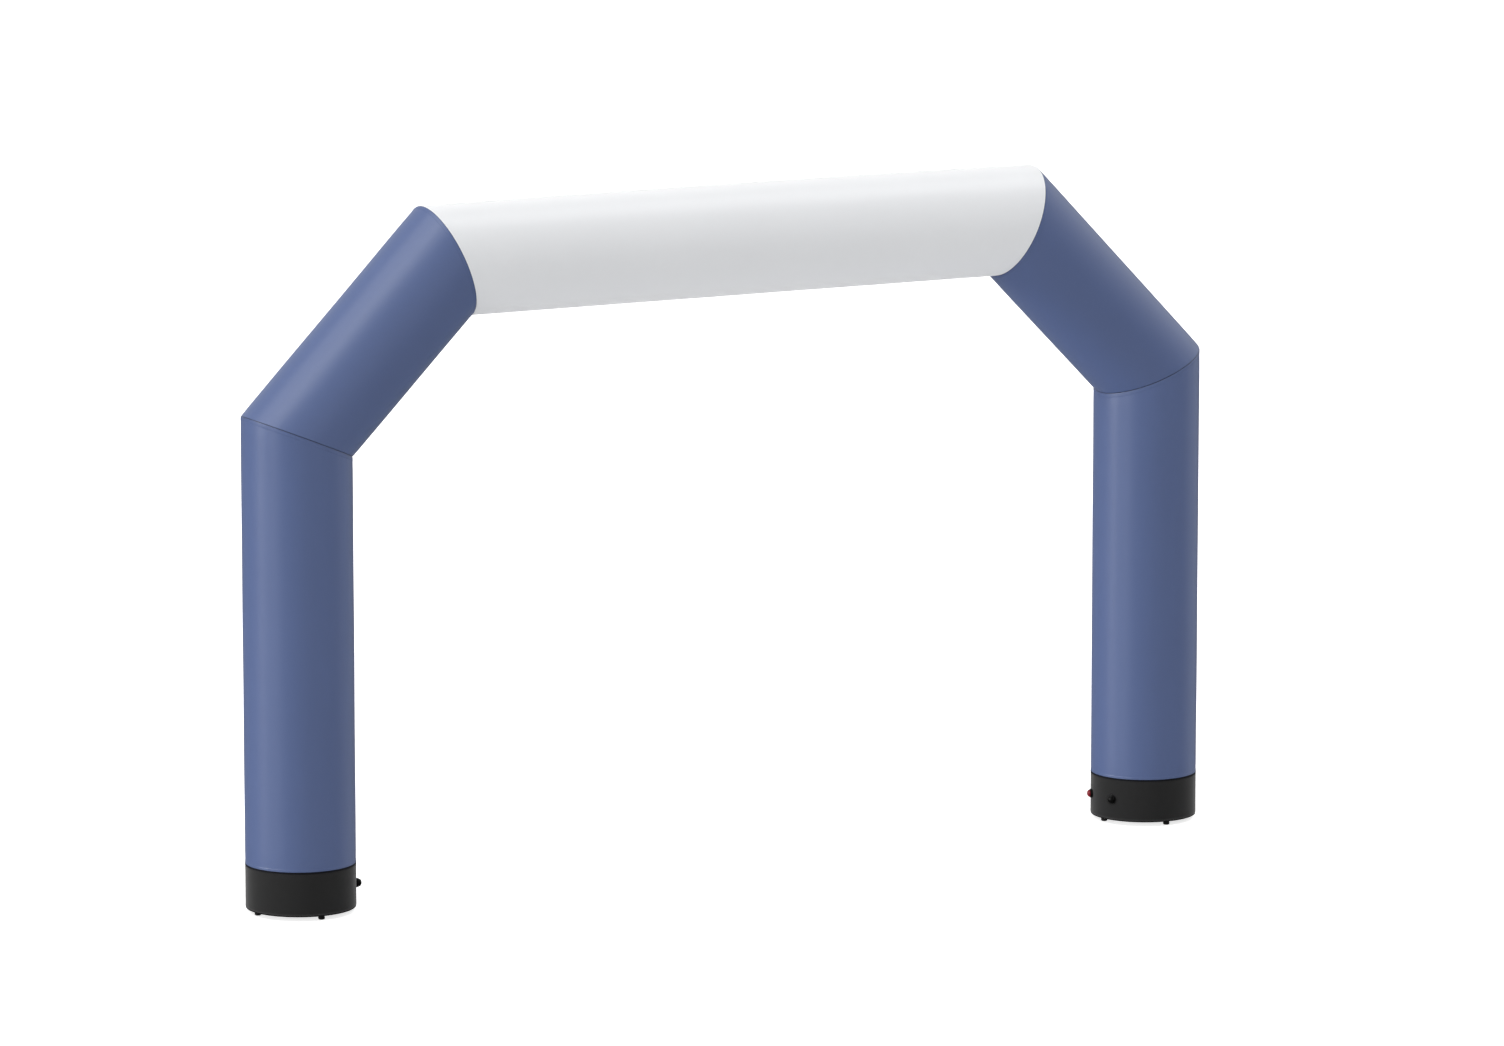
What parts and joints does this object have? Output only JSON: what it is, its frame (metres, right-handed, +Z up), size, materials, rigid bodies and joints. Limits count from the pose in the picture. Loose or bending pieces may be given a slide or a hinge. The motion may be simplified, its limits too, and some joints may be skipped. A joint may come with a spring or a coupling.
{
  "type": "inflatable arch",
  "caption": "Free-standing inflatable arch: blue legs and shoulders and a white top of air-filled cloth sleeves, mitred at each bend, on round black bases with rubber feet and side valves.",
  "frame": {"origin": "on the ground at the middle of the passage, midway between the legs and between front and back", "axes": "+X along the arch from the left base to the right base, -Y towards the front, +Z up"},
  "size_m": [5.944, 0.604, 3.8003],
  "materials": {
    "blue_cloth": "smooth coated cloth, soft satin sheen",
    "white_cloth": "smooth coated cloth, soft satin sheen",
    "black_drum": "fine-grained moulded black, satin",
    "black_plate": "plain black, matt",
    "black_binding": "narrow woven binding, matt",
    "black_rubber": "moulded rubber, matt",
    "black_valve": "moulded black, glossy",
    "red_valve": "moulded dark red, glossy"
  },
  "bodies": {
    "root": {"leg_sleeve_left": "blue_cloth", "leg_sleeve_right": "blue_cloth", "shoulder_sleeve_left": "blue_cloth", "shoulder_sleeve_right": "blue_cloth", "top_sleeve": "white_cloth", "base_drum_left": "black_drum", "base_drum_right": "black_drum", "base_plate_left": "black_plate", "base_plate_right": "black_plate", "edge_binding_left": "black_binding", "edge_binding_right": "black_binding", "foot_left_inner": "black_rubber", "foot_left_back": "black_rubber", "foot_left_outer": "black_rubber", "foot_left_front": "black_rubber", "foot_right_inner": "black_rubber", "foot_right_back": "black_rubber", "foot_right_outer": "black_rubber", "foot_right_front": "black_rubber", "inlet_collar_left": "black_valve", "inlet_cap_left": "black_valve", "inlet_collar_right": "black_valve", "inlet_cap_right": "black_valve", "relief_collar_right": "black_valve", "relief_cap_right": "red_valve"}
  },
  "joints": []
}
